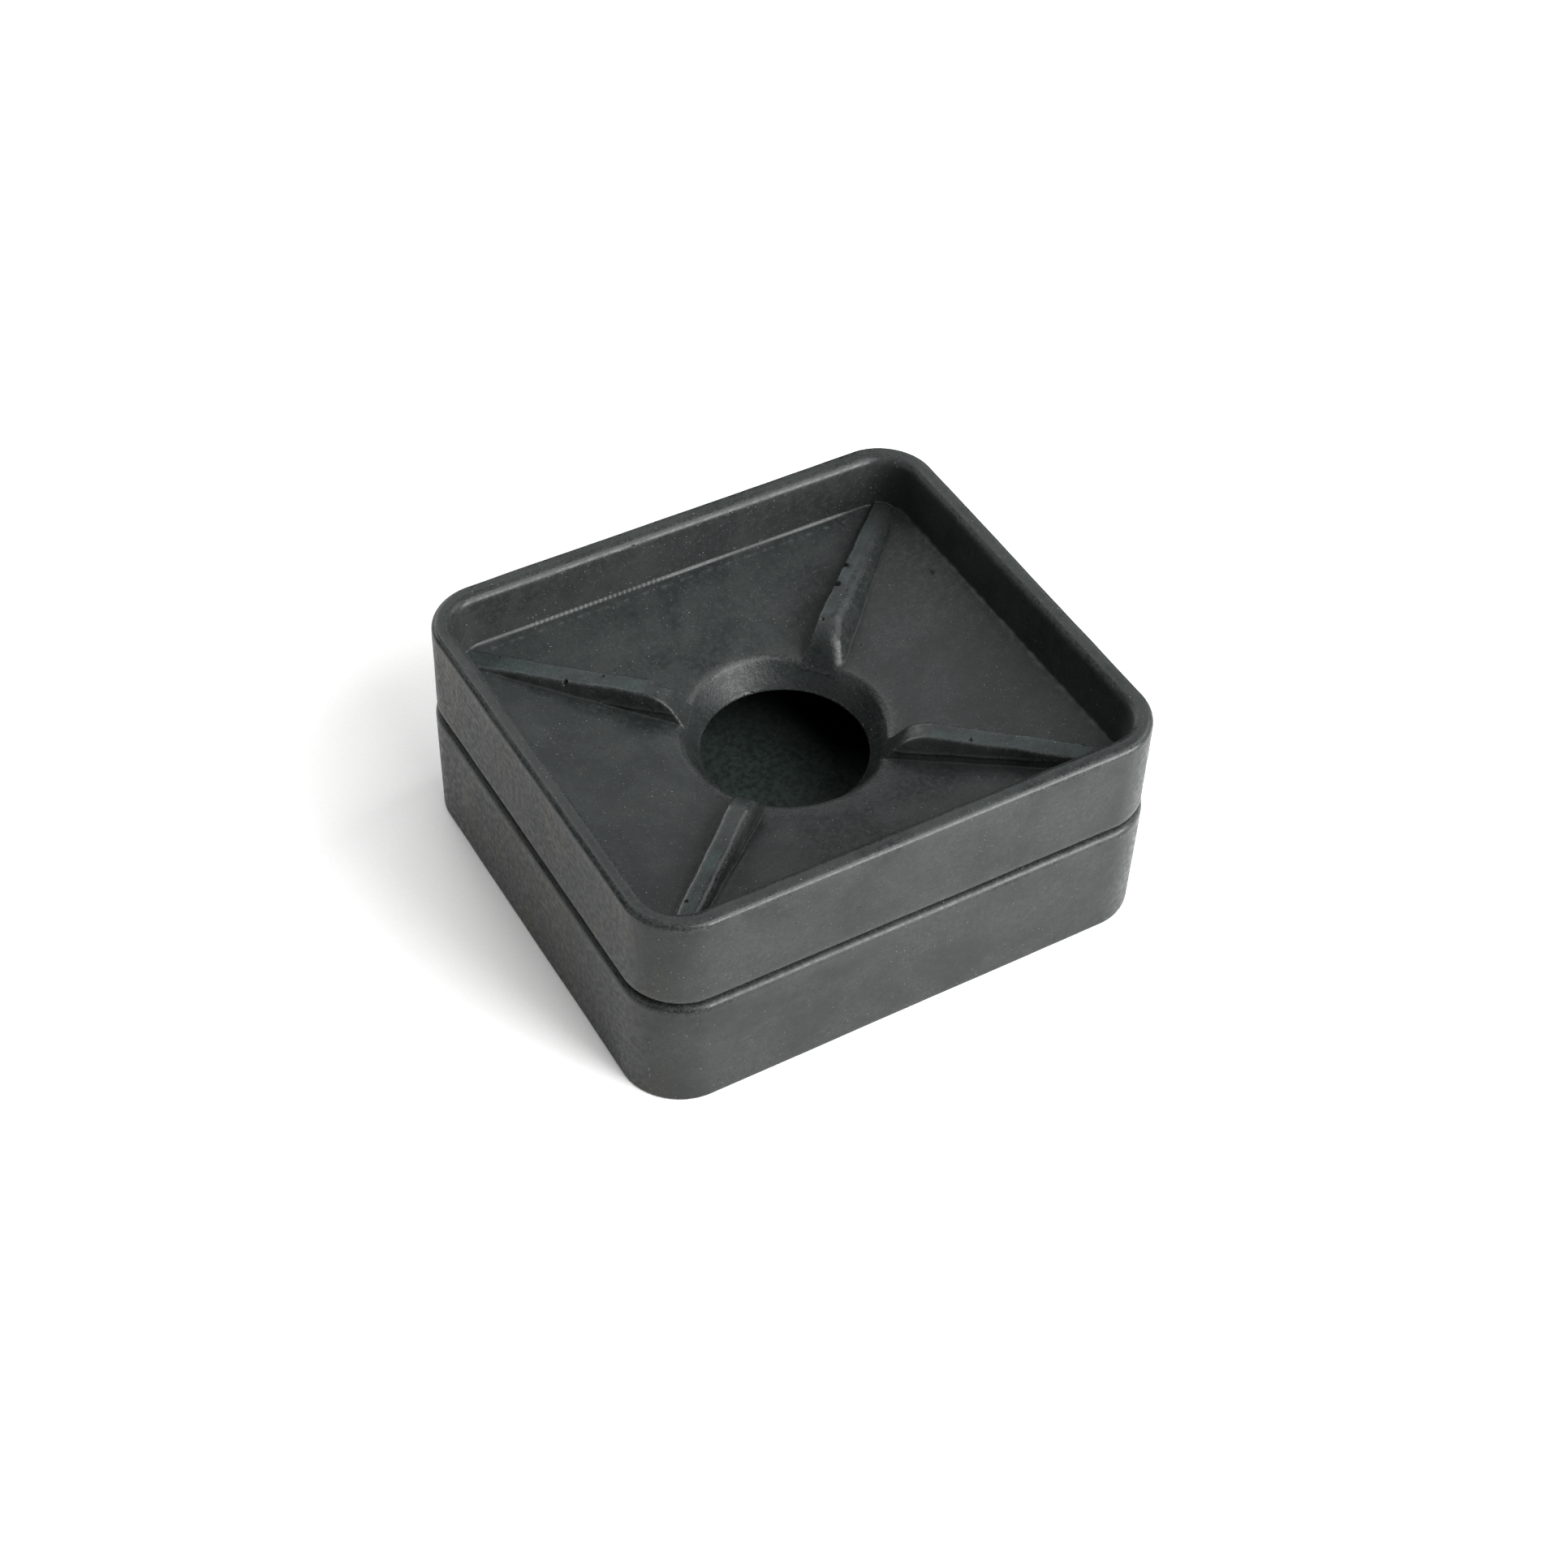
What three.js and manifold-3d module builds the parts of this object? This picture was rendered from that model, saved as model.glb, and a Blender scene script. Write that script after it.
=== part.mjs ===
// Two-piece cast-concrete ashtray: an open box that collects the ash, and a loose dished
// top tray with four cigarette ribs that drops into it and rests on its rim.
// Millimetres. Origin at the middle of the underside, +X along the long side, +Z up.
import * as THREE from 'three';
import { mergeVertices } from 'three/addons/utils/BufferGeometryUtils.js';
import Module from 'manifold-3d';

const wasm = await Module();
wasm.setup();

// ---- driving dimensions -------------------------------------------------------------
const TRAY = { width: 114.3, depth: 102, corner: 12.2 };   // outline of the top tray
const HEIGHT = 49.7;             // underside of the box to the tray's rim
const SEAT_Z = 27.2;             // level where the tray rests on the box
const SEAT_GAP = 0.1;            // air left between the two seat faces
const BOX_PROUD = 0.4;           // how far the box stands out past the tray, each side
const BOX_TAPER = 0.2;           // how much narrower the box is at its foot, each side
const BOX_FOOT_EDGE = 0.5;       // small round on the box's bottom edge
const BOX_RIM_OUTER = 1.9;       // round on the outside of the box's rim
const BOX_RIM_INNER = 1.2;       // round on the inside of the box's rim
const BOX_WALL = 5;              // box wall at the rim
const BOX_DRAFT = 0.8;           // how much thicker the box wall is at the floor
const BOX_FLOOR = 5;             // thickness of the box's floor
const BOX_COVE = 3;              // inside round between the floor and the walls
const TRAY_EDGE = 2;             // round on the tray's bottom edge
const TRAY_RIM_OUTER = 1.5;      // round on the outside of the tray's rim
const TRAY_RIM_INNER = 1.2;      // round on the inside of the tray's rim
const TRAY_WALL = 4.3;           // tray wall at the rim
const TRAY_DRAFT = 1;            // how much thicker the tray wall is where the dish starts
const DISH_Z = 37.8;             // level where the dish meets the walls
const DISH_APEX_Z = 28.4;        // level where the four dish panels would meet
const RIB = { top: 38.5, width: 4.8, flare: 0.9, shoulder: 0.8, foot: 30 };
const PLUG_Z = 26.35;            // underside of the plug that drops into the box
const PLUG_PLAY = 0.9;           // clearance between the plug and the box's opening
const PLUG_TAPER = 0.4;          // how much narrower the plug is at its underside
const HOLE_RADIUS = 16.8;        // ash hole at the plug's underside
const FUNNEL_SLOPE = 0.713;      // radius gained by the funnel for each mm of height
const NOSE_ROUND = 4;            // round where a rib's top turns down into the funnel
const ARC_STEPS = 8;             // straight steps in a quarter round
const CORNER_STEPS = 5;          // half the straight steps in each plan corner
const OVERCUT = 2;               // how far a cutting solid runs past what it cuts

// ---- helpers ------------------------------------------------------------------------
// Plan outline of a rounded rectangle, anticlockwise.
function outline(halfX, halfY, radius) {
  const x = halfX - radius;
  const y = halfY - radius;
  const turn = Math.PI / 2;
  const shape = new THREE.Shape();
  shape.absarc(x, y, radius, 0, turn);
  shape.absarc(-x, y, radius, turn, 2 * turn);
  shape.absarc(-x, -y, radius, 2 * turn, 3 * turn);
  shape.absarc(x, -y, radius, 3 * turn, 4 * turn);
  return shape.getPoints(CORNER_STEPS).slice(0, -1);
}

// Closed solid through rounded-rectangle levels, given from the lowest to the highest.
// Each level is { z, inset }: the outline drawn in by inset from the given plan.
function loft(plan, levels) {
  const rings = levels.map(({ z, inset }) => {
    const radius = Math.max(plan.corner - inset, 0.2);
    const points = outline(plan.width / 2 - inset, plan.depth / 2 - inset, radius);
    return points.map((p) => [p.x, p.y, z]);
  });
  const count = rings[0].length;
  const top = rings.length - 1;
  const positions = [...rings.flat(), [0, 0, levels[0].z], [0, 0, levels[top].z]];
  const bottomCentre = positions.length - 2;
  const topCentre = positions.length - 1;
  const index = [];
  for (let i = 0; i < count; i += 1) {
    const next = (i + 1) % count;
    for (let k = 0; k < top; k += 1) {
      const a = k * count;
      const b = a + count;
      index.push(a + i, a + next, b + next, a + i, b + next, b + i);
    }
    index.push(bottomCentre, next, i);
    index.push(topCentre, top * count + i, top * count + next);
  }
  const geometry = new THREE.BufferGeometry();
  geometry.setAttribute('position', new THREE.Float32BufferAttribute(positions.flat(), 3));
  geometry.setIndex(index);
  return geometry;
}

// Levels of a quarter round about (centreZ, centreInset), from one angle to another.
// Angle 0 points outwards, 90 degrees points up.
function round(centreInset, centreZ, radius, from, to) {
  const levels = [];
  for (let i = 0; i <= ARC_STEPS; i += 1) {
    const angle = THREE.MathUtils.degToRad(from + ((to - from) * i) / ARC_STEPS);
    const inset = centreInset - radius * Math.cos(angle);
    levels.push({ z: centreZ + radius * Math.sin(angle), inset });
  }
  return levels;
}

function solid(geometry) {
  const bare = geometry.clone();
  bare.deleteAttribute('normal');
  bare.deleteAttribute('uv');
  const merged = mergeVertices(bare, 1e-4);
  const vertProperties = new Float32Array(merged.attributes.position.array);
  const triVerts = new Uint32Array(merged.index.array);
  return new wasm.Manifold(new wasm.Mesh({ numProp: 3, vertProperties, triVerts }));
}

function toMesh(name, manifold, material) {
  const { vertProperties, triVerts } = manifold.getMesh();
  const geometry = new THREE.BufferGeometry();
  geometry.setAttribute('position', new THREE.Float32BufferAttribute(vertProperties, 3));
  geometry.setIndex([...triVerts]);
  geometry.computeVertexNormals();
  const mesh = new THREE.Mesh(geometry, material);
  mesh.name = name;
  return mesh;
}

function concrete(color) {
  return new THREE.MeshStandardMaterial({ color, roughness: 0.8, metalness: 0 });
}

// ---- the ash box --------------------------------------------------------------------
const BOX = {
  width: TRAY.width + 2 * BOX_PROUD,
  depth: TRAY.depth + 2 * BOX_PROUD,
  corner: TRAY.corner + BOX_PROUD,
};

function baseBox() {
  const body = loft(BOX, [
    ...round(BOX_TAPER + BOX_FOOT_EDGE, BOX_FOOT_EDGE, BOX_FOOT_EDGE, -90, 0),
    ...round(BOX_RIM_OUTER, SEAT_Z - BOX_RIM_OUTER, BOX_RIM_OUTER, 0, 90),
  ]);
  const floorInset = BOX_WALL + BOX_DRAFT;
  const rimInset = BOX_WALL - BOX_RIM_INNER;
  const cove = round(floorInset + BOX_COVE, BOX_FLOOR + BOX_COVE, BOX_COVE, -90, 0);
  const flare = round(rimInset, SEAT_Z - BOX_RIM_INNER, BOX_RIM_INNER, 180, 90);
  const cavity = loft(BOX, [...cove, ...flare, { z: SEAT_Z + OVERCUT, inset: rimInset }]);
  return solid(body).subtract(solid(cavity));
}

// ---- the top tray -------------------------------------------------------------------
function trayBlock() {
  const lowest = SEAT_Z + SEAT_GAP;
  const block = loft(TRAY, [
    ...round(TRAY_EDGE, lowest + TRAY_EDGE, TRAY_EDGE, -90, 0),
    ...round(TRAY_RIM_OUTER, HEIGHT - TRAY_RIM_OUTER, TRAY_RIM_OUTER, 0, 90),
  ]);
  const plugInset = BOX_WALL - BOX_PROUD + PLUG_PLAY;
  const plug = loft(TRAY, [
    { z: PLUG_Z, inset: plugInset + PLUG_TAPER },
    { z: lowest + OVERCUT, inset: plugInset },
  ]);
  return solid(block).add(solid(plug));
}

// The dish: walls with a little draft down to an upside-down four-sided pyramid.
function dish() {
  const rimInset = TRAY_WALL - TRAY_RIM_INNER;
  const filletZ = HEIGHT - TRAY_RIM_INNER;
  const draftPerMm = TRAY_DRAFT / (filletZ - DISH_Z);
  const walls = loft(TRAY, [
    { z: DISH_APEX_Z, inset: TRAY_WALL + draftPerMm * (filletZ - DISH_APEX_Z) },
    ...round(rimInset, filletZ, TRAY_RIM_INNER, 180, 90),
    { z: HEIGHT + OVERCUT, inset: rimInset },
  ]);
  const creaseInset = TRAY_WALL + TRAY_DRAFT;
  const rise = HEIGHT + OVERCUT - DISH_APEX_Z;
  const spread = rise / (DISH_Z - DISH_APEX_Z);
  const pyramid = new THREE.ConeGeometry(Math.SQRT2, rise, 4, 1);
  pyramid.rotateY(Math.PI / 4);
  pyramid.rotateX(-Math.PI / 2);
  const halfX = (TRAY.width / 2 - creaseInset) * spread;
  const halfY = (TRAY.depth / 2 - creaseInset) * spread;
  pyramid.scale(halfX, halfY, 1);
  pyramid.translate(0, 0, DISH_APEX_Z + rise / 2);
  return solid(walls).intersect(solid(pyramid));
}

// One rib bar along +X from the axis, level on top, with sloping sides and soft shoulders.
function ribBar(length) {
  const half = RIB.width / 2;
  const shoulder = RIB.shoulder;
  const section = new THREE.Shape();
  section.moveTo(-half - RIB.flare, RIB.foot);
  section.lineTo(half + RIB.flare, RIB.foot);
  section.lineTo(half, RIB.top - shoulder);
  section.absarc(half - shoulder, RIB.top - shoulder, shoulder, 0, Math.PI / 2);
  section.absarc(shoulder - half, RIB.top - shoulder, shoulder, Math.PI / 2, Math.PI);
  const bar = new THREE.ExtrudeGeometry(section, {
    depth: length,
    bevelEnabled: false,
    curveSegments: ARC_STEPS,
  });
  bar.rotateX(Math.PI / 2);
  bar.rotateZ(Math.PI / 2);
  return bar;
}

// Four ribs from the corners of the dish towards the middle, kept inside the tray's walls.
function ribs() {
  const reachX = TRAY.width / 2 - TRAY_WALL;
  const reachY = TRAY.depth / 2 - TRAY_WALL;
  const angle = Math.atan2(reachY, reachX);
  const cornerLoss = (TRAY.corner - TRAY_WALL) * (Math.SQRT2 - 1);
  const length = Math.hypot(reachX, reachY) - cornerLoss;
  const bars = [angle, Math.PI - angle, Math.PI + angle, -angle].map((turn) => {
    const bar = ribBar(length);
    bar.rotateZ(turn);
    return solid(bar);
  });
  return bars.reduce((all, bar) => all.add(bar));
}

// The funnel and ash hole, with a flare that rounds off the rib noses.
function funnel() {
  const lean = Math.atan(FUNNEL_SLOPE);
  const noseRadius = HOLE_RADIUS + FUNNEL_SLOPE * (RIB.top - PLUG_Z);
  const tangent = NOSE_ROUND * Math.tan((Math.PI / 2 - lean) / 2);
  const arcCentre = new THREE.Vector2(noseRadius + tangent, RIB.top - NOSE_ROUND);
  const profile = [
    new THREE.Vector2(0, PLUG_Z - OVERCUT),
    new THREE.Vector2(HOLE_RADIUS, PLUG_Z - OVERCUT),
    new THREE.Vector2(HOLE_RADIUS, PLUG_Z),
  ];
  for (let i = 0; i <= ARC_STEPS; i += 1) {
    const angle = Math.PI - lean - ((Math.PI / 2 - lean) * i) / ARC_STEPS;
    const offset = new THREE.Vector2(Math.cos(angle), Math.sin(angle));
    profile.push(offset.multiplyScalar(NOSE_ROUND).add(arcCentre));
  }
  profile.push(new THREE.Vector2(arcCentre.x, HEIGHT + OVERCUT));
  profile.push(new THREE.Vector2(0, HEIGHT + OVERCUT));
  const cutter = new THREE.LatheGeometry(profile, 64);
  cutter.rotateX(Math.PI / 2);
  return cutter;
}

function topTray() {
  const dished = trayBlock().subtract(dish());
  return dished.add(ribs()).subtract(solid(funnel()));
}

// ---- the object ---------------------------------------------------------------------
const ashtray = new THREE.Group();
ashtray.add(toMesh('base_box', baseBox(), concrete(0x464b4b)));
ashtray.add(toMesh('top_tray', topTray(), concrete(0x4a4f4f)));

export default ashtray;
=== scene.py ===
"""Looks of the two-piece concrete ashtray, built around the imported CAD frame.

Both castings are made as distance fields in millimetres, so that every edge and cove has a round of
its own, and are turned into meshes with OpenVDB. The outer sizes come from the frame.
"""

import math
from types import SimpleNamespace

import bmesh
import bpy
import numpy as np
import openvdb
from mathutils import Matrix, Vector

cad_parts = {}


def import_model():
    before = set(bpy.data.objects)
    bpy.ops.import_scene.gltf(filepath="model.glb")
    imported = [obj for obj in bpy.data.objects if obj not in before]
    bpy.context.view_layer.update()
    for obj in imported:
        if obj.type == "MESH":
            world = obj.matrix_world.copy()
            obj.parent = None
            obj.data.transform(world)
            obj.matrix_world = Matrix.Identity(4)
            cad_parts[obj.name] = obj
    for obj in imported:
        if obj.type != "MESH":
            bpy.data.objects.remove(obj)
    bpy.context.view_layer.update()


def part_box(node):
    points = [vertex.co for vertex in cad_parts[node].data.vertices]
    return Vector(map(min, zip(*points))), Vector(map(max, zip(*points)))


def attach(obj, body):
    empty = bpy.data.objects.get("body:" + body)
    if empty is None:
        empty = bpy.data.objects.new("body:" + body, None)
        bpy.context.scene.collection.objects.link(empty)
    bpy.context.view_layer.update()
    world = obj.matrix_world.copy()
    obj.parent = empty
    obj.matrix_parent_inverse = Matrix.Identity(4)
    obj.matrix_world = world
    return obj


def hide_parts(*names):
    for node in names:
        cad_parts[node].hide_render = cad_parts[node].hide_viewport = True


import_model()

MM = 0.001
SEED = 7

# ---- sizes in millimetres, the outer ones from the frame -----------------------------
BOX_LOW, BOX_HIGH = (np.array(corner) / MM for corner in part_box("base_box"))
TRAY_LOW, TRAY_HIGH = (np.array(corner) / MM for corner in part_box("top_tray"))
RIM_Z = TRAY_HIGH[2]
SEAT_Z = BOX_HIGH[2]
PLUG_Z = TRAY_LOW[2]
SKIN = 0.1                  # how far the cast surface wanders, always inwards

TRAY_HALF = TRAY_HIGH[:2]
TRAY_CORNER = 12.2
TRAY_WALL = 4.3             # at the rim
TRAY_DRAFT = 0.088          # wall gained for each mm below the rim
TRAY_GAP = 0.1              # air between the two seat faces
RIM_OUTER = 1.4
TRAY_FOOT = 2.0             # round on the bottom edge of the tray
RIM_INNER = 1.9
CRISP = 0.4                 # round on an edge that looks sharp

DISH_Z = 37.8               # level where the panels meet the walls
APEX_Z = 28.4               # level where the panels would meet
DISH_COVE = 0.4
RIB_HALF = 2.4
RIB_FLARE = 0.11            # half width gained for each mm below the top
BACK_LEAN = 0.42            # the same on the right flank of the back rib, which leans more
RIB_COVE = 0.35
RIB_NOSE = 3.4
FUNNEL_RADIUS = 16.8        # at the plug's underside
FUNNEL_SLOPE = 0.713
FUNNEL_LIP = 0.8            # round between the panels and the funnel

BOX_HALF = BOX_HIGH[:2]
BOX_CORNER = TRAY_CORNER + BOX_HALF[0] - TRAY_HALF[0]
BOX_TAPER = 0.2 / SEAT_Z
BOX_RIM_OUTER = 1.9
BOX_WALL = 5.0
BOX_DRAFT = 0.035
BOX_FLOOR = 5.0
BOX_COVE = 3.0
PLUG_INSET = BOX_WALL - (BOX_HALF[0] - TRAY_HALF[0]) + 0.9

WALL_INSET = TRAY_WALL + TRAY_DRAFT * (RIM_Z - DISH_Z)
PANEL_RISE = (DISH_Z - APEX_Z) / (TRAY_HALF - WALL_INSET)
RIB_TURN = math.atan2(*(TRAY_HALF - TRAY_WALL)[::-1])

RIB_MIDDLE = 42.0           # distance from the axis where a rib has its stated level
# name: turn from +X, level, climb for each mm outwards, rounds on the two shoulders
RIBS = {
    "back": (RIB_TURN, 38.5, 0.0, 0.35, 2.6),
    "left": (math.pi - RIB_TURN, 37.9, 0.0, 0.5, 0.8),
    "near": (math.pi + RIB_TURN, 38.4, 0.0, 1.5, 1.2),
    "right": (-RIB_TURN, 39.2, 0.03, 0.8, 0.5),
}
# level of the welt along a rib's flank, its rise for each mm outwards, the side it is on
WELTS = {"left": (34.0, 0.0, 1), "near": (33.6, 0.1, 1), "right": (34.9, 0.13, -1)}
# rib, distance from the axis, side step, radius, depth of the chips in the rib edges
CHIPS = (
    ("back", 44.5, 2.3, 0.8, 0.7),
    ("back", 38.2, 2.2, 1.0, 0.8),
    ("back", 27.1, 1.5, 0.55, 0.5),
    ("left", 44.6, 2.1, 0.6, 0.9),
    ("near", 54.9, -1.2, 0.45, 0.4),
    ("right", 36.9, -1.1, 0.5, 0.6),
    ("right", 59.0, 1.9, 0.45, 0.4),
)
PINHOLES = 46               # air holes of each casting, over all its faces

# the flash of the mould at the back of the dish: where along x it starts and ends
FLASH_START, FLASH_END = (-47, -44), (42, 38)
BEADS_START, BEADS_END = (-36, -30), (0, -6)
BEAD_PITCH = 1.12
WELT_START, WELT_END = (21, 24), (58, 46)       # distances from the axis, along a rib
WELT_HEIGHT = 0.22

VOXEL = 0.36
SLAB = 40                   # layers of voxels worked out at a time
MERGE = 0.015               # how readily flat areas are covered with fewer, larger faces
CHORD = 0.014               # largest distance between a face's edge and the true surface
SHORTEST = 0.22             # an edge is cut only where its halves stay longer than this
SLIVER = 0.004              # an edge below this length is closed up
BEND_REACH = 0.6            # how far apart a field is compared to find its edges and coves
FULL_BEND = 0.8             # curvature, in 1/mm, that counts wholly as an edge or a cove
FULL_FLASH = 0.22           # height that counts wholly as flash


# ---- distance fields -----------------------------------------------------------------
def plan(x, y, half, corner):
    """Signed distance to a rounded rectangle in plan, negative inside."""
    across = np.abs(x) - (half[0] - corner)
    along = np.abs(y) - (half[1] - corner)
    outside = np.hypot(np.maximum(across, 0), np.maximum(along, 0))
    return outside + np.minimum(np.maximum(across, along), 0) - corner


def both(a, b, radius):
    """What lies in a and in b, with a rounded edge between them."""
    edge = np.hypot(np.maximum(a + radius, 0), np.maximum(b + radius, 0))
    return np.minimum(np.maximum(a, b), -radius) + edge


def either(a, b, radius):
    """What lies in a or in b, with a cove between them."""
    return -both(-a, -b, radius)


def funnel_field(x, y, z):
    """The air in the funnel, a cone that is widest at the top."""
    lean = math.atan(FUNNEL_SLOPE)
    return (np.hypot(x, y) - FUNNEL_RADIUS - FUNNEL_SLOPE * (z - PLUG_Z)) * math.cos(lean)


def dish_floor(x, y, z):
    """Height above the four sloping panels."""
    return z - APEX_Z - np.maximum(PANEL_RISE[0] * np.abs(x), PANEL_RISE[1] * np.abs(y))


def rib_axes(x, y, turn):
    """Distance along a rib from the middle of the tray and the side step from its centre line."""
    along = x * math.cos(turn) + y * math.sin(turn)
    aside = y * math.cos(turn) - x * math.sin(turn)
    return along, aside


def rib_side(along, aside, drop, phase, flare=RIB_FLARE):
    """Distance outside the flank of a rib, whose edges waver a little."""
    waver = 0.06 * np.sin(along * 0.55 + phase) + 0.03 * np.sin(along * 1.3 + 2 * phase)
    return (aside - RIB_HALF - flare * drop + waver) / math.hypot(1, flare)


def rib_field(x, y, z):
    """The four ribs, which run from the corners of the dish and bend down into the funnel."""
    field = None
    hole = -funnel_field(x, y, z)
    for index, (name, rib) in enumerate(RIBS.items()):
        turn, level, climb, left_round, right_round = rib
        lean = BACK_LEAN if name == "back" else RIB_FLARE
        along, aside = rib_axes(x, y, turn)
        over = z - level - climb * (along - RIB_MIDDLE) + 0.08 * np.sin(along * 0.3 + index)
        cap = both(over, hole, RIB_NOSE)
        left = both(rib_side(along, aside, -over, index), cap, left_round)
        right = both(rib_side(along, -aside, -over, index + 5, lean), cap, right_round)
        bar = np.maximum(np.maximum(left, right), -along)
        field = bar if field is None else np.minimum(field, bar)
    inside_walls = plan(x, y, TRAY_HALF - TRAY_WALL / 2, TRAY_CORNER - TRAY_WALL / 2)
    return np.maximum(np.maximum(field, inside_walls), APEX_Z + 2 - z)


def tray_field(x, y, z):
    """The upper casting: a block with its plug, less the dish and the funnel, and the ribs."""
    outside = plan(x, y, TRAY_HALF, TRAY_CORNER)
    block = both(outside, z - RIM_Z, RIM_OUTER)
    block = both(block, SEAT_Z + TRAY_GAP - z, TRAY_FOOT)
    plug = plan(x, y, TRAY_HALF - PLUG_INSET, TRAY_CORNER - PLUG_INSET)
    plug = both(plug, np.maximum(PLUG_Z - z, z - SEAT_Z - 2), CRISP)
    block = either(block, plug, CRISP)
    opening = plan(x, y, TRAY_HALF - TRAY_WALL, TRAY_CORNER - TRAY_WALL)
    opening = opening + TRAY_DRAFT * (RIM_Z - z)
    bowl = either(-opening, dish_floor(x, y, z), DISH_COVE)
    body = both(block, bowl, RIM_INNER)
    lip = np.where(z > SEAT_Z, FUNNEL_LIP, CRISP)
    body = both(body, -funnel_field(x, y, z), lip)
    return either(body, rib_field(x, y, z), RIB_COVE)


def box_field(x, y, z):
    """The lower casting: a tapered block, less its inside."""
    outside = plan(x, y, BOX_HALF, BOX_CORNER) + BOX_TAPER * (SEAT_Z - z)
    block = both(outside, z - SEAT_Z, BOX_RIM_OUTER)
    block = both(block, -z, CRISP)
    opening = plan(x, y, BOX_HALF - BOX_WALL, BOX_CORNER - BOX_WALL)
    opening = opening + BOX_DRAFT * (SEAT_Z - z)
    inside = either(-opening, z - BOX_FLOOR, BOX_COVE)
    return both(block, inside, RIM_INNER)


def gradient(field, points):
    """The slope of a field at each point, which points out of the surface."""
    step = 0.02
    slopes = []
    for axis in range(3):
        shift = np.zeros(3)
        shift[axis] = step
        ahead = field(points + shift)
        behind = field(points - shift)
        slopes.append((ahead - behind) / (2 * step))
    return np.stack(slopes, 1)


def settle(field, points, steps):
    """Moves points onto the zero level of a field."""
    for _ in range(steps):
        slope = gradient(field, points)
        points = points - slope * (field(points) / (slope * slope).sum(1))[:, None]
    return points


# ---- fine relief, in mm taken off the smooth surface ---------------------------------
def wander(points, seed, wavelength, waves=14):
    """Smooth noise between about -1 and 1, with one main wavelength in mm."""
    rng = np.random.default_rng(seed)
    total = np.zeros(len(points))
    for _ in range(waves):
        direction = rng.normal(size=3)
        direction *= 2 * math.pi / wavelength / np.linalg.norm(direction)
        total += np.sin(points @ direction * rng.uniform(0.6, 1.6) + rng.uniform(0, 2 * math.pi))
    return total / math.sqrt(waves)


def bump(distance, width):
    """A smooth ridge, 1 at its crest."""
    return np.exp(-(distance / width) ** 2)


def ramp(value, start, end):
    """Rises smoothly from 0 at start to 1 at end."""
    t = np.clip((value - start) / (end - start), 0, 1)
    return t * t * (3 - 2 * t)


def mould_lines(x, y, z):
    """Beaded flash of the mould where the panels meet the walls."""
    crease = TRAY_HALF - WALL_INSET
    ends = ramp(x, *FLASH_START) * ramp(x, *FLASH_END)
    beads = ramp(x, *BEADS_START) * ramp(x, *BEADS_END)
    beads = 0.12 * beads * np.cos(2 * math.pi * x / BEAD_PITCH)
    ridge = 0.13 + 0.05 * np.sin(x * 0.21 + 1) + beads
    height = ends * ridge * bump(np.hypot(y - crease[1] + 0.1, z - DISH_Z - 0.1), 0.24)
    broken = np.maximum(np.sin(x * 1.3) + np.sin(x * 2.9 + 1) + 0.6, 0) / 2
    height += 0.1 * ends * broken * bump(y - crease[1] + 1.9, 0.22) * (z > 36) * (z < 40)
    side = 0.08 * np.maximum(np.sin(y * 1.7) + np.sin(y * 0.6 + 2) + 0.8, 0) / 2
    height += side * bump(np.hypot(x - crease[0] + 0.1, z - DISH_Z - 0.1), 0.4)
    return height * (np.abs(y) < crease[1] + 3)


def rib_feet(x, y, z):
    """Low welts that run along the flanks of the ribs, just above the panels."""
    height = np.zeros(len(x))
    for name, (welt, rise, side) in WELTS.items():
        turn, level = RIBS[name][:2]
        along, aside = rib_axes(x, y, turn)
        gap = side * aside - RIB_HALF - RIB_FLARE * (level - z)
        present = ramp(along, *WELT_START) * ramp(along, *WELT_END) * ramp(np.abs(gap), 1.6, 0.9)
        height += WELT_HEIGHT * present * bump(z - welt - rise * (along - 30), 0.32)
    return height


class Relief:
    """A smooth field with its skin, lines and pits."""

    def __init__(self, field, seed, marks, lines):
        self.field = field
        self.seed = seed
        self.lines = lines
        spots = np.array([mark[0] for mark in marks])
        self.spots = settle(self.plain, spots, 6)
        normals = gradient(self.plain, self.spots)
        self.normals = normals / np.linalg.norm(normals, axis=1)[:, None]
        self.radii = [mark[1] for mark in marks]
        self.depths = [mark[2] for mark in marks]

    def plain(self, points):
        return self.field(*points.T)

    def __call__(self, points):
        depth = 0.5 + 0.3 * wander(points, self.seed, 34) + 0.15 * wander(points, self.seed + 1, 9)
        depth = SKIN * np.clip(depth, 0, 1)
        if self.lines:
            depth -= mould_lines(*points.T) + rib_feet(*points.T)
        order = np.argsort(points[:, 0])
        ranked = points[order, 0]
        for spot, normal, radius, deep in zip(self.spots, self.normals, self.radii, self.depths):
            reach = radius + deep + 0.3
            start, stop = np.searchsorted(ranked, (spot[0] - reach, spot[0] + reach))
            near = order[start:stop]
            near = near[np.abs(points[near] - spot).max(1) < reach] if stop > start else near
            if len(near):
                apart = points[near] - spot
                aside = (apart * apart).sum(1) - (apart @ normal) ** 2
                depth[near] += deep * ramp(np.sqrt(np.maximum(aside, 0)), radius, 0.3 * radius)
        return self.plain(points) + depth


def chips():
    """Where the chips in the rib edges are, how wide and how deep."""
    for name, along, aside, radius, deep in CHIPS:
        turn, level = RIBS[name][:2]
        x = along * math.cos(turn) - aside * math.sin(turn)
        y = along * math.sin(turn) + aside * math.cos(turn)
        yield (x, y, level), radius, deep


def pinholes(low, high, count, seed):
    """Air bubbles spread over a casting."""
    rng = np.random.default_rng(seed)
    for _ in range(count):
        spot = rng.uniform(low, high)
        radius = 0.16 + 0.3 * rng.random() ** 3
        yield spot, radius, radius * rng.uniform(0.7, 1.3)


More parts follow.
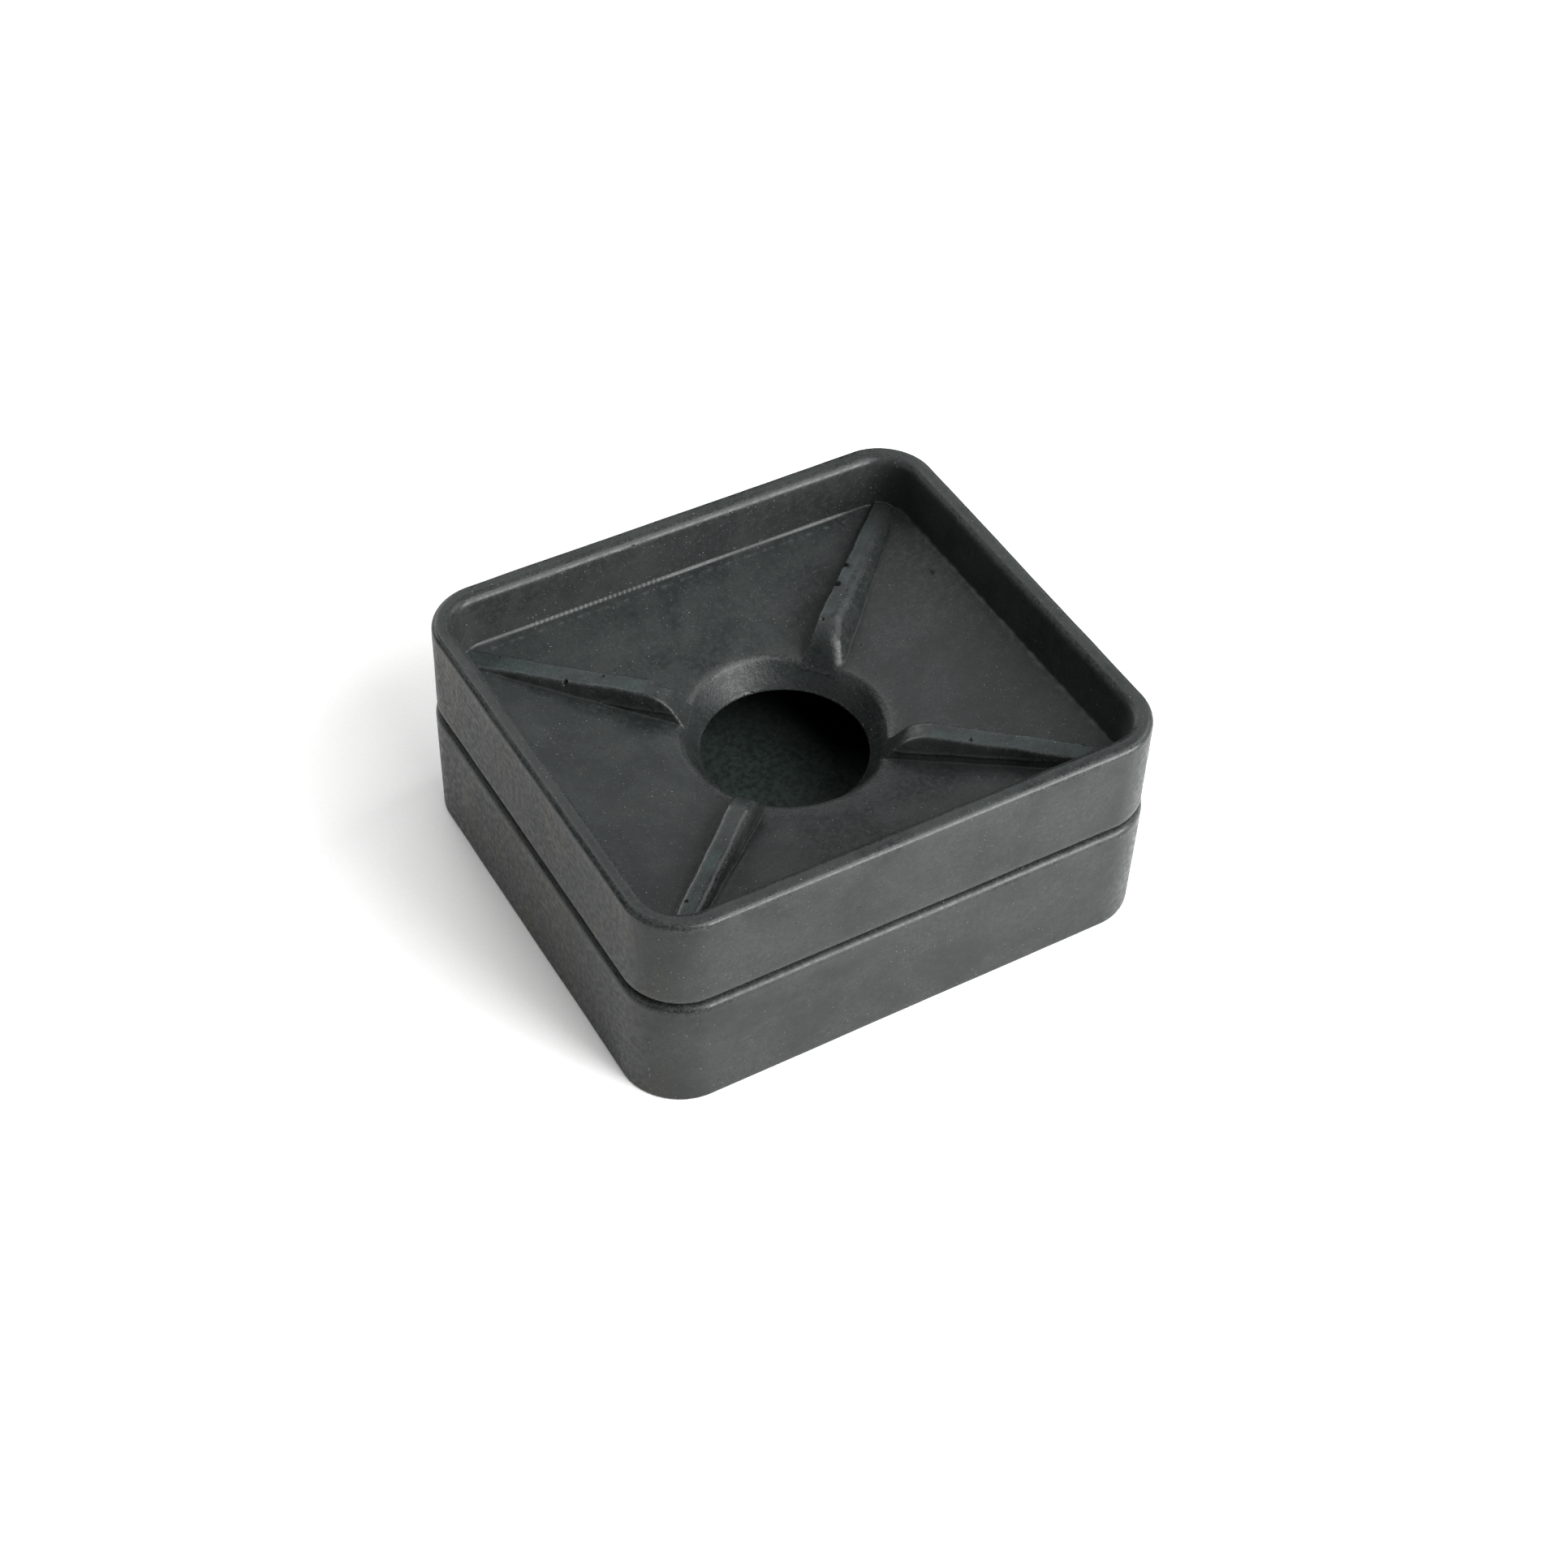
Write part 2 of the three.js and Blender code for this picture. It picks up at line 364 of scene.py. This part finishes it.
# ---- from field to mesh --------------------------------------------------------------
def shell(field, low, high):
    """Faces of a field between two corners, with larger faces where it is flat."""
    margin = 3 * VOXEL
    axes = [np.arange(a - margin, b + margin, VOXEL) for a, b in zip(low, high)]
    band = 3 * VOXEL
    x, y, z = np.meshgrid(*axes, indexing="ij", sparse=True)
    values = np.empty([len(axis) for axis in axes], np.float32)
    for start in range(0, len(axes[0]), SLAB):
        part = slice(start, start + SLAB)
        values[part] = np.clip(field(x[part], y, z), -band, band)
    grid = openvdb.FloatGrid(background=band)
    grid.copyFromArray(values)
    points, triangles, quads = grid.convertToPolygons(0.0, MERGE)
    points = points.astype(float) * VOXEL + [axis[0] for axis in axes]
    faces = triangles.tolist() + quads.tolist()
    return points, faces


def refine(mesh, relief):
    """Cuts the edges that stray from the surface and settles the new points on it."""
    work = bmesh.new()
    work.from_mesh(mesh)
    bmesh.ops.triangulate(work, faces=work.faces[:])
    for _ in range(3):
        work.verts.index_update()
        points = np.array([vert.co for vert in work.verts])
        pairs = np.array([[vert.index for vert in edge.verts] for edge in work.edges])
        ends = points[pairs]
        middle = ends.mean(1)
        length = np.linalg.norm(ends[:, 0] - ends[:, 1], axis=1)
        long = length > 2 * SHORTEST
        stray = np.zeros(len(pairs))
        stray[long] = np.abs(relief(middle[long]))
        edges = list(work.edges)
        cut = [edges[i] for i in np.flatnonzero(stray > CHORD)]
        if not cut:
            break
        bmesh.ops.subdivide_edges(work, edges=cut, cuts=1, use_grid_fill=False)
        bmesh.ops.triangulate(work, faces=[face for face in work.faces if len(face.verts) > 3])
        added = list(work.verts)[len(points):]
        for vert, point in zip(added, settle(relief, np.array([vert.co for vert in added]), 2)):
            vert.co = point
    bmesh.ops.dissolve_degenerate(work, dist=SLIVER, edges=work.edges[:])
    bmesh.ops.triangulate(work, faces=[face for face in work.faces if len(face.verts) > 3])
    work.to_mesh(mesh)
    work.free()


def casting(name, relief, low, high):
    """A piece from a field between two corners, settled on its relief, with its edges marked."""
    points, faces = shell(relief.field, low, high)
    points = settle(relief.plain, points, 2)
    points = settle(relief, points, 2)
    mesh = bpy.data.meshes.new(name)
    mesh.from_pydata(points, [], faces)
    refine(mesh, relief)
    points = np.empty(3 * len(mesh.vertices))
    mesh.vertices.foreach_get("co", points)
    points = points.reshape(-1, 3)
    normals = gradient(relief, points)
    normals /= np.linalg.norm(normals, axis=1)[:, None]
    around = sum(relief.plain(points + step) + relief.plain(points - step)
                 for step in BEND_REACH * np.eye(3))
    bend = (around - 6 * relief.plain(points)) / BEND_REACH ** 2
    store(mesh, "edge", np.clip(bend / FULL_BEND, 0, 1))
    store(mesh, "hollow", np.clip(-bend / FULL_BEND, 0, 1))
    if relief.lines:
        store(mesh, "flash", np.clip(mould_lines(*points.T) / FULL_FLASH, 0, 1))
    mesh.vertices.foreach_set("co", (points * MM).ravel())
    mesh.polygons.foreach_set("use_smooth", np.ones(len(mesh.polygons), bool))
    mesh.update()
    mesh.normals_split_custom_set_from_vertices(normals)
    piece = bpy.data.objects.new(name, mesh)
    bpy.context.scene.collection.objects.link(piece)
    return piece


def store(mesh, name, values):
    """Keeps a value at each vertex, for the materials to read."""
    layer = mesh.attributes.new(name, "FLOAT", "POINT")
    layer.data.foreach_set("value", values.astype(np.float32))


# ---- materials -----------------------------------------------------------------------
class Tree:
    """A short way to write shader nodes."""

    def __init__(self, material):
        material.use_nodes = True
        self.nodes = material.node_tree.nodes
        self.links = material.node_tree.links
        self.shader = self.nodes["Principled BSDF"]

    def put(self, socket, value):
        """Links another node's output to a socket, or sets its value."""
        if isinstance(value, bpy.types.NodeSocket):
            self.links.new(value, socket)
        elif isinstance(value, tuple) and len(value) == 3 and socket.type == "RGBA":
            socket.default_value = (*value, 1)
        else:
            socket.default_value = value

    def math(self, operation, a, b=0.0):
        node = self.nodes.new("ShaderNodeMath")
        node.operation = operation
        self.put(node.inputs[0], a)
        self.put(node.inputs[1], b)
        return node.outputs[0]

    def product(self, *factors):
        """The product of two or more values."""
        result = factors[0]
        for factor in factors[1:]:
            result = self.math("MULTIPLY", result, factor)
        return result

    def vector(self, operation, a, b=(0, 0, 0)):
        """The outputs of a vector calculation."""
        node = self.nodes.new("ShaderNodeVectorMath")
        node.operation = operation
        self.put(node.inputs[0], a)
        self.put(node.inputs[1], b)
        return node.outputs

    def range(self, value, low, high, start=0.0, end=1.0):
        """Goes smoothly from start to end as the value goes from low to high."""
        node = self.nodes.new("ShaderNodeMapRange")
        node.interpolation_type = "SMOOTHSTEP"
        for socket, number in zip(node.inputs, (value, low, high, start, end)):
            self.put(socket, number)
        return node.outputs[0]

    def mix(self, factor, a, b, blend="MIX"):
        node = self.nodes.new("ShaderNodeMix")
        node.data_type = "RGBA"
        node.blend_type = blend
        self.put(node.inputs[0], factor)
        self.put(node.inputs[6], a)
        self.put(node.inputs[7], b)
        return node.outputs[2]

    def place(self, stretch=(1, 1, 1), shift=0.0):
        """Object coordinates in millimetres, stretched and shifted."""
        source = self.nodes.new("ShaderNodeTexCoord").outputs["Object"]
        node = self.nodes.new("ShaderNodeMapping")
        self.put(node.inputs["Vector"], source)
        node.inputs["Scale"].default_value = [side / MM for side in stretch]
        node.inputs["Location"].default_value = (shift, 1.7 * shift, 2.3 * shift)
        return node.outputs[0]

    def noise(self, where, wavelength, detail=3.0, rough=0.55, warp=0.0):
        node = self.nodes.new("ShaderNodeTexNoise")
        self.put(node.inputs["Vector"], where)
        node.inputs["Scale"].default_value = 1 / wavelength
        node.inputs["Detail"].default_value = detail
        node.inputs["Roughness"].default_value = rough
        node.inputs["Distortion"].default_value = warp
        return node.outputs[0]

    def grains(self, where, spacing, share, radius):
        """Spots on a share of the cells of a loose lattice."""
        node = self.nodes.new("ShaderNodeTexVoronoi")
        self.put(node.inputs["Vector"], where)
        node.inputs["Scale"].default_value = 1 / spacing
        node.inputs["Randomness"].default_value = 1
        parts = self.nodes.new("ShaderNodeSeparateColor")
        self.put(parts.inputs[0], node.outputs["Color"])
        chosen = self.math("LESS_THAN", parts.outputs[0], share)
        size = self.math("MULTIPLY_ADD", parts.outputs[1], 0.6 * radius / spacing)
        self.put(size.node.inputs[2], 0.4 * radius / spacing)
        near = self.math("DIVIDE", node.outputs["Distance"], size)
        return self.math("MULTIPLY", chosen, self.range(near, 1.0, 0.5))

    def attribute(self, name):
        node = self.nodes.new("ShaderNodeAttribute")
        node.attribute_name = name
        return node.outputs["Fac"]

    def level(self, vector):
        """A vector with its height taken out."""
        return self.vector("MULTIPLY", vector, (1, 1, 0))["Vector"]

    def axis(self, vector, index):
        """The X, Y or Z of a vector, by its number."""
        node = self.nodes.new("ShaderNodeSeparateXYZ")
        self.put(node.inputs[0], vector)
        return node.outputs[index]

    def bump(self, height, depth, before=None):
        """A normal with a relief of a depth in millimetres, on top of an earlier one."""
        node = self.nodes.new("ShaderNodeBump")
        node.inputs["Distance"].default_value = depth * MM
        self.put(node.inputs["Height"], height)
        if before:
            self.put(node.inputs["Normal"], before)
        return node.outputs[0]


# colours, as linear red, green and blue
DARK = (0.0125, 0.014, 0.0135)
PALE = (0.027, 0.0285, 0.0272)
OLIVE = (0.032, 0.0305, 0.022)      # runs down the left outer walls
TEAL = (0.032, 0.042, 0.041)        # bloom on the tops of the ribs, lighter than the concrete: partly their own tint, partly painted light on the flat tops
WORN = (0.066, 0.069, 0.067)        # rubbed edges
GRIT_AND_FLASH_HIGHLIGHT = (0.16, 0.172, 0.168)         # pale fines, and the painted highlight along the mould flash
BOX_FLOOR_TONE = (0.040, 0.056, 0.050)        # a lighter, greener tone on the floor of the box
PORE_AND_SEAM_SHADE = (0.004, 0.0045, 0.0042)      # air holes, and painted shade in the seam between the castings
COOL = (0.92, 1.0, 1.02)            # cooler tone, strongest on what faces up: partly the concrete's own tint, partly painted cool light from above
GLOSS = 0.19

# each pair is where an effect starts and where it is complete, in millimetres
LEFT_WALL_X = (-50, -55)
RIB_TOP_ABOVE = (36, 37)
RIB_TOP_BELOW = (44, 42)
SEAM_REACH = (0.8, 0.2)
BOX_FLOOR_Z = (8, 5.2)
SCRAPED_RADIUS = (27, 23)
SCRAPED_Z = (26, 28)


def noises(tree, shift):
    """The noises that break up the concrete, named by what they make."""
    where = tree.place(shift=shift)
    streaks = tree.place(stretch=(1, 1, 0.3), shift=shift + 40)
    return SimpleNamespace(
        where=where,
        clouds=tree.noise(where, 16, detail=5, rough=0.62, warp=0.4),
        blots=tree.noise(where, 3.2, detail=4, rough=0.6),
        grain=tree.noise(where, 0.55, detail=2),
        runs=tree.noise(streaks, 9, detail=2, rough=0.55, warp=0.4),
        mottle=tree.noise(where, 1.3, detail=4, rough=0.7),
        bloom=tree.noise(where, 9, detail=3, rough=0.6),
        crowd=tree.noise(where, 22, detail=2),
    )


def masks(tree, noise, shift):
    """Where each effect is on a casting, from 0 to 1."""
    spot = tree.place()
    height = tree.axis(spot, 2)
    radius = tree.vector("LENGTH", tree.level(spot))["Value"]
    normal = tree.nodes.new("ShaderNodeNewGeometry").outputs["Normal"]
    up = tree.axis(normal, 2)
    # positive where a wall faces away from the middle of the object, negative where towards it
    outward = tree.vector("DOT_PRODUCT", normal, tree.level(spot))["Value"]

    upright = tree.range(tree.math("ABSOLUTE", up), 0.75, 0.35)
    left = tree.product(
        tree.range(tree.axis(normal, 0), -0.3, -0.8, 0.12, 1),
        tree.range(tree.axis(spot, 0), *LEFT_WALL_X),
    )
    off_seam = tree.math("ABSOLUTE", tree.math("SUBTRACT", height, SEAT_Z + TRAY_GAP / 2))
    crowd = tree.range(noise.crowd, 0.42, 0.6, 0.05, 0.36)
    return SimpleNamespace(
        edge=tree.attribute("edge"),
        hollow=tree.attribute("hollow"),
        flash=tree.attribute("flash"),
        stains=tree.product(tree.range(noise.runs, 0.45, 0.66, 0, 0.8), upright, left),
        rib_tops=tree.product(
            tree.range(up, 0.985, 0.998),
            tree.range(height, *RIB_TOP_ABOVE),
            tree.range(height, *RIB_TOP_BELOW),
        ),
        inward=tree.range(outward, -4, -15),
        seam=tree.product(tree.range(off_seam, *SEAM_REACH), tree.range(outward, -1, 8)),
        upward=tree.range(up, 0.1, 0.6),
        box_floor=tree.product(
            tree.range(height, *BOX_FLOOR_Z),
            tree.range(up, 0.3, 0.9),
            tree.range(noise.mottle, 0.38, 0.62, 0.35, 1),
        ),
        scraped=tree.product(
            tree.range(radius, *SCRAPED_RADIUS),
            tree.range(height, *SCRAPED_Z),
        ),
        grit=tree.grains(noise.where, 0.9, crowd, 0.18),
        dust=tree.grains(tree.place(shift=shift + 9), 0.46, 0.22, 0.13),
        pores=tree.grains(tree.place(shift=shift + 23), 2.3, 0.05, 0.27),
    )


def concrete_color(tree, noise, mask):
    color = tree.mix(tree.range(noise.clouds, 0.37, 0.63), DARK, PALE)
    color = tree.mix(tree.range(noise.blots, 0.53, 0.7, 0, 0.5), color, PALE)
    color = tree.mix(tree.range(noise.blots, 0.47, 0.3, 0, 0.3), color, DARK)
    color = tree.mix(tree.range(noise.mottle, 0.45, 0.68, 0, 0.75), color, PALE)
    color = tree.mix(mask.stains, color, OLIVE)
    bloom = tree.range(noise.bloom, 0.42, 0.62, 0.15, 0.75)
    # teal tint on the upward rib tops, made lighter as painted light on them
    color = tree.mix(tree.product(mask.rib_tops, bloom), color, TEAL)
    color = tree.mix(tree.range(noise.grain, 0.35, 0.65, 0, 0.45), color, DARK)
    # painted shade: walls that face the middle of the object are darkened
    color = tree.mix(tree.product(mask.inward, 0.4), color, DARK)
    # painted shade: the seam between the two castings is darkened, standing in for the shadow under
    # the tray's edge
    color = tree.mix(mask.seam, color, PORE_AND_SEAM_SHADE)
    # a cooler tone all over, stronger on upward faces as painted cool light from above
    cool = tree.mix(1.0, color, COOL, "MULTIPLY")
    color = tree.mix(tree.range(mask.upward, 0, 1, 0.4, 1), color, cool)
    worn = tree.product(mask.edge, tree.range(noise.grain, 0.4, 0.65))
    color = tree.mix(tree.product(worn, 0.3), color, WORN)
    # painted shade: coves and other concave places are darkened
    color = tree.mix(tree.product(mask.hollow, 0.35), color, DARK)
    # painted highlight: the mould flash is made paler
    color = tree.mix(tree.product(mask.flash, 0.4), color, GRIT_AND_FLASH_HIGHLIGHT)
    color = tree.mix(mask.box_floor, color, BOX_FLOOR_TONE)
    color = tree.mix(tree.product(mask.dust, 0.45), color, GRIT_AND_FLASH_HIGHLIGHT)
    color = tree.mix(tree.product(mask.grit, 0.75), color, GRIT_AND_FLASH_HIGHLIGHT)
    return tree.mix(mask.pores, color, PORE_AND_SEAM_SHADE)


def concrete_roughness(tree, noise, mask):
    rough = tree.range(noise.clouds, 0.3, 0.7, 0.4, 0.48)
    rough = tree.math("ADD", rough, tree.range(noise.mottle, 0.35, 0.65, -0.1, 0.1))
    changes = ((mask.edge, -0.19), (mask.seam, 0.4), (mask.flash, -0.1), (mask.pores, 0.3),
               (mask.scraped, -0.12))
    for where, change in changes:
        rough = tree.math("ADD", rough, tree.product(where, change))
    return rough


def concrete_bumps(tree, noise, mask):
    """Bumps on top of the modelled relief, each with its depth in millimetres."""
    normal = tree.bump(tree.noise(noise.where, 4.5, detail=4, rough=0.6), 0.05)
    normal = tree.bump(tree.noise(noise.where, 0.5, detail=3, rough=0.6), 0.018, normal)
    scratches = tree.product(mask.scraped, tree.noise(noise.where, 0.9, detail=4, rough=0.7))
    normal = tree.bump(scratches, 0.12, normal)
    return tree.bump(tree.math("SUBTRACT", mask.grit, mask.pores), 0.05, normal)


def concrete(name, shift):
    """Dark concrete out of a smooth mould, with clouds, stains, grit, bubbles and rubbed edges,
    painted shade in coves, on inner walls and in the seam, and painted light on the mould flash,
    the rib tops and upward faces.
    """
    material = bpy.data.materials.new(name)
    tree = Tree(material)
    noise = noises(tree, shift)
    mask = masks(tree, noise, shift)
    tree.put(tree.shader.inputs["Base Color"], concrete_color(tree, noise, mask))
    tree.put(tree.shader.inputs["Roughness"], concrete_roughness(tree, noise, mask))
    tree.shader.inputs["Specular IOR Level"].default_value = GLOSS
    tree.put(tree.shader.inputs["Normal"], concrete_bumps(tree, noise, mask))
    return material


# ---- the two castings ----------------------------------------------------------------
tray_marks = [*chips(), *pinholes(TRAY_LOW, TRAY_HIGH, PINHOLES, SEED + 2)]
tray_relief = Relief(tray_field, SEED, tray_marks, lines=True)
tray = casting("tray_casting", tray_relief, TRAY_LOW, TRAY_HIGH)
tray.data.materials.append(concrete("tray_concrete", 0))

box_marks = list(pinholes(BOX_LOW, BOX_HIGH, PINHOLES, SEED + 3))
box_relief = Relief(box_field, SEED + 10, box_marks, lines=False)
box = casting("box_casting", box_relief, BOX_LOW, BOX_HIGH)
box.data.materials.append(concrete("box_concrete", 130))

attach(tray, "tray")
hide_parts("top_tray")
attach(box, "box")
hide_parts("base_box")


# ---- floor, light and camera ---------------------------------------------------------
FLOOR_HALF = 1.25
PAPER_SHADE = (0.89, 0.89, 0.885)
PAPER = (0.91, 0.91, 0.905)

BACKDROP = 1.0              # brightness of the world to the camera
GLOW = 0.01                 # its brightness to everything else, so that it hardly lights the object

LIGHT_DISTANCE = 1.0
LIGHT_TARGET = Vector((0, 0, 0.03))
# name: degrees from +X and from the floor, sides in metres, power in watts
LIGHTS = {
    "key": (301, 17, (0.75, 0.5), 22.5),
    "high_key": (290, 47, (0.7, 0.5), 9),
    "right_fill": (355, 42, (0.6, 0.6), 4.4),
    "back_fill": (85, 44, (0.5, 0.5), 2.2),
    "back_right_fill": (45, 36, (0.4, 0.4), 0.9),
    "left_fill": (172, 22, (0.6, 0.4), 1.3),
    "back_low": (105, 22, (0.8, 0.4), 4.0),
    "top": (120, 80, (1.0, 1.0), 3.2),
}

CAMERA_AZIMUTH = -31.626    # degrees from -Y
CAMERA_ELEVATION = 46.016
CAMERA_ROLL = 2.336
CAMERA_DISTANCE = 0.57818
CAMERA_AIM = Vector((0.00006, -0.00004, 0.01653))
CAMERA_LENS = 65.32


def floor():
    mesh = bpy.data.meshes.new("floor")
    corners = [(-FLOOR_HALF, -FLOOR_HALF, 0), (FLOOR_HALF, -FLOOR_HALF, 0),
               (FLOOR_HALF, FLOOR_HALF, 0), (-FLOOR_HALF, FLOOR_HALF, 0)]
    mesh.from_pydata(corners, [], [(0, 1, 2, 3)])
    plane = bpy.data.objects.new("floor", mesh)
    bpy.context.scene.collection.objects.link(plane)
    material = bpy.data.materials.new("floor_paper")
    tree = Tree(material)
    fibres = tree.noise(tree.place(), 0.8, detail=3)
    color = tree.mix(tree.range(fibres, 0.3, 0.7), PAPER_SHADE, PAPER)
    tree.put(tree.shader.inputs["Base Color"], color)
    tree.put(tree.shader.inputs["Roughness"], tree.range(fibres, 0.3, 0.7, 0.85, 0.95))
    tree.put(tree.shader.inputs["Normal"], tree.bump(fibres, 0.02))
    mesh.materials.append(material)


def area_light(name, azimuth, elevation, size, power):
    """A soft box aimed at the object, its direction in degrees from +X and from the floor."""
    turn, lift = math.radians(azimuth), math.radians(elevation)
    level = math.cos(lift)
    away = Vector((math.cos(turn) * level, math.sin(turn) * level, math.sin(lift)))
    data = bpy.data.lights.new(name, "AREA")
    data.shape = "RECTANGLE"
    data.size, data.size_y = size
    data.energy = power
    light = bpy.data.objects.new(name, data)
    light.location = LIGHT_TARGET + away * LIGHT_DISTANCE
    light.rotation_euler = (-away).to_track_quat("-Z", "Y").to_euler()
    bpy.context.scene.collection.objects.link(light)


def world():
    """A white backdrop behind the floor, which hardly lights the object."""
    sky = bpy.data.worlds.new("studio")
    sky.use_nodes = True
    nodes = sky.node_tree.nodes
    back = nodes["Background"]
    back.inputs["Color"].default_value = (1, 1, 1, 1)
    strength = nodes.new("ShaderNodeMapRange")
    strength.inputs["To Min"].default_value = GLOW
    strength.inputs["To Max"].default_value = BACKDROP
    seen = nodes.new("ShaderNodeLightPath").outputs["Is Camera Ray"]
    sky.node_tree.links.new(seen, strength.inputs["Value"])
    sky.node_tree.links.new(strength.outputs[0], back.inputs["Strength"])
    bpy.context.scene.world = sky


def camera():
    """The photograph's viewpoint."""
    angles = CAMERA_AZIMUTH, CAMERA_ELEVATION, CAMERA_ROLL
    azimuth, elevation, roll = (math.radians(angle) for angle in angles)
    back = Vector((
        math.sin(azimuth) * math.cos(elevation),
        -math.cos(azimuth) * math.cos(elevation),
        math.sin(elevation),
    ))
    right = Vector((0, 0, 1)).cross(back).normalized()
    up = back.cross(right)
    turned_right = right * math.cos(roll) + up * math.sin(roll)
    turned_up = up * math.cos(roll) - right * math.sin(roll)
    data = bpy.data.cameras.new("camera")
    data.sensor_width = 36
    data.lens = CAMERA_LENS
    data.clip_start = 0.01
    view = bpy.data.objects.new("camera", data)
    turn = Matrix((turned_right, turned_up, back)).transposed().to_4x4()
    view.matrix_world = Matrix.Translation(CAMERA_AIM + back * CAMERA_DISTANCE) @ turn
    bpy.context.scene.collection.objects.link(view)
    bpy.context.scene.camera = view


floor()
world()
for light_name, settings in LIGHTS.items():
    area_light(light_name, *settings)
camera()
bpy.context.scene.view_settings.view_transform = "Standard"
